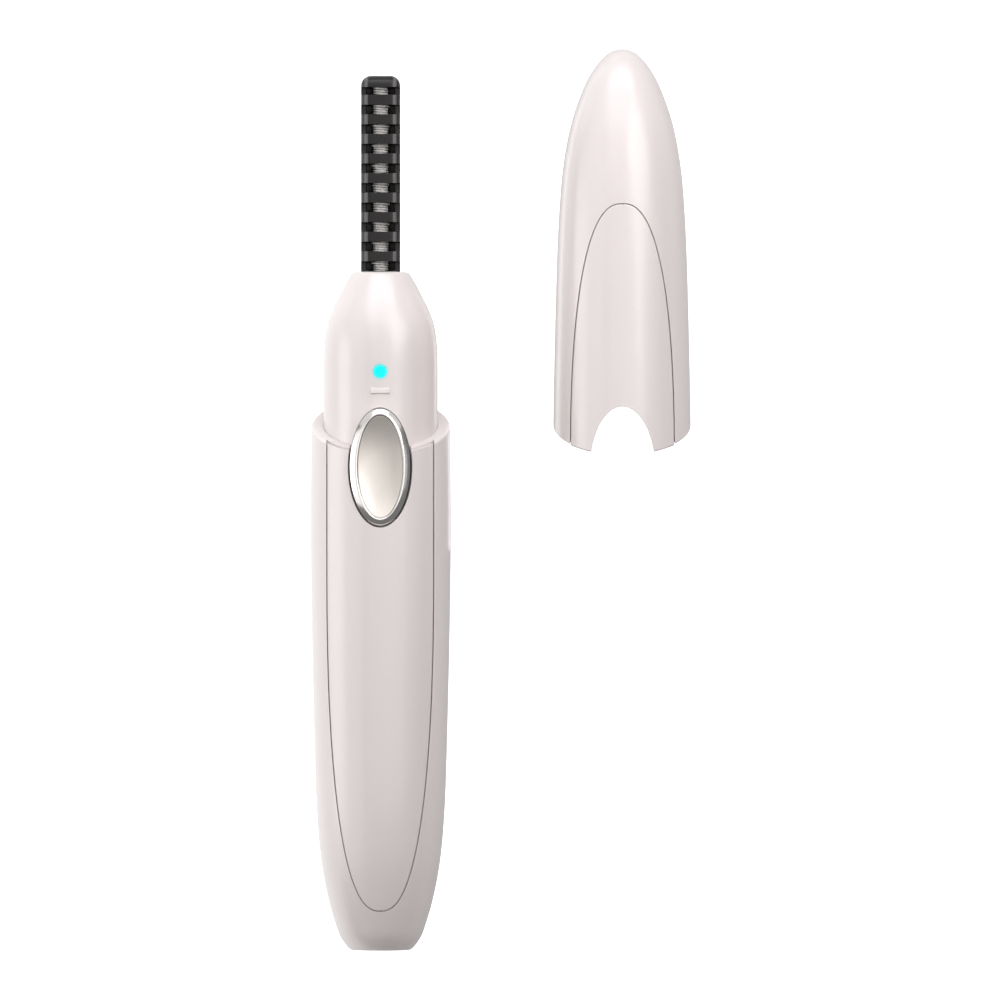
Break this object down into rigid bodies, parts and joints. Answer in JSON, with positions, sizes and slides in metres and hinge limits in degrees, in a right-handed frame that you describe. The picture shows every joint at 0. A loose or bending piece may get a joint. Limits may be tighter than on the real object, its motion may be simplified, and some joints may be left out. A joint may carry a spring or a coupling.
{
  "type": "eyelash curler",
  "caption": "Battery heated eyelash curler: slim guarded heater comb, oval power button, pull-off handle sleeve and a push-on cap lying beside it.",
  "frame": {"origin": "centre of the flat end of the handle, on the body's axis", "axes": "+Y along the body from the flat end to the comb's tip; +Z out of the button, away from the surface that the object lies on; +X from the body towards the cap lying beside it"},
  "size_m": [0.057, 0.1352, 0.0213],
  "materials": {
    "pearl_handle": "pearlescent satin",
    "pearl_panel": "pearlescent satin",
    "pearl_cap": "pearlescent satin",
    "pearl_neck": "pearlescent satin",
    "bezel_chrome": "bright plated plastic",
    "button_satin": "satin metallic paint",
    "comb_black": "semi-gloss moulded",
    "heater_nickel": "drawn wire",
    "led_cyan": "lit clear lens",
    "black_rubber": "matt",
    "black_plastic": "moulded",
    "cream_plastic": "moulded",
    "board_green": "solder mask",
    "capacitor_can": "sleeved can",
    "ceramic_body": "fired",
    "battery_wrap": "shrink sleeve",
    "brass_contact": "stamped",
    "spring_steel": "plated",
    "lead_red": "insulation"
  },
  "bodies": {
    "core": {"neck_housing": "pearl_neck", "grip_ring": "black_rubber", "button_bezel": "bezel_chrome", "button_spring": "spring_steel", "tact_switch_base": "black_plastic", "circuit_board": "board_green", "pcb_screw_upper": "spring_steel", "pcb_screw_lower": "spring_steel", "led_chip": "cream_plastic", "led_lens": "led_cyan", "controller_chip": "black_plastic", "capacitor": "capacitor_can", "resistor_left": "black_plastic", "resistor_right": "black_plastic", "thermal_fuse": "ceramic_body", "battery_chassis": "black_plastic", "battery": "battery_wrap", "negative_spring": "spring_steel", "negative_strip": "brass_contact", "positive_contact": "brass_contact", "comb_guard": "comb_black", "comb_socket": "black_plastic", "heater_core": "ceramic_body", "heater_wire": "heater_nickel", "lead_wire_left": "lead_red", "lead_wire_right": "lead_red"},
    "handle": {"handle_shell": "pearl_handle", "front_panel": "pearl_panel"},
    "cap": {"cap_shell": "pearl_cap", "cap_panel": "pearl_panel"},
    "power_button": {"power_button": "button_satin"},
    "switch_actuator": {"tact_actuator": "cream_plastic"}
  },
  "joints": [
    {"name": "handle_pull", "type": "slide", "parent": "core", "child": "handle", "axis": [0, -1, 0], "range_m": [0, 0.088]},
    {"name": "cap_carry", "type": "slide", "parent": "handle", "child": "cap", "axis": [-0.3786, 0.9256, 0.002], "range_m": [0, 0.09562]},
    {"name": "power_press", "type": "slide", "parent": "core", "child": "power_button", "axis": [0, 0, -1], "range_m": [0, 0.0008], "stiffness_N_per_m": 1200, "springref_m": -0.0005, "deforming": ["button_spring"]},
    {"name": "actuator_press", "type": "slide", "parent": "core", "child": "switch_actuator", "axis": [0, 0, -1], "range_m": [0, 0.00056]}
  ],
  "couplings": [
    {"joint": "actuator_press", "follows": "power_press", "ratio": 0.7}
  ]
}
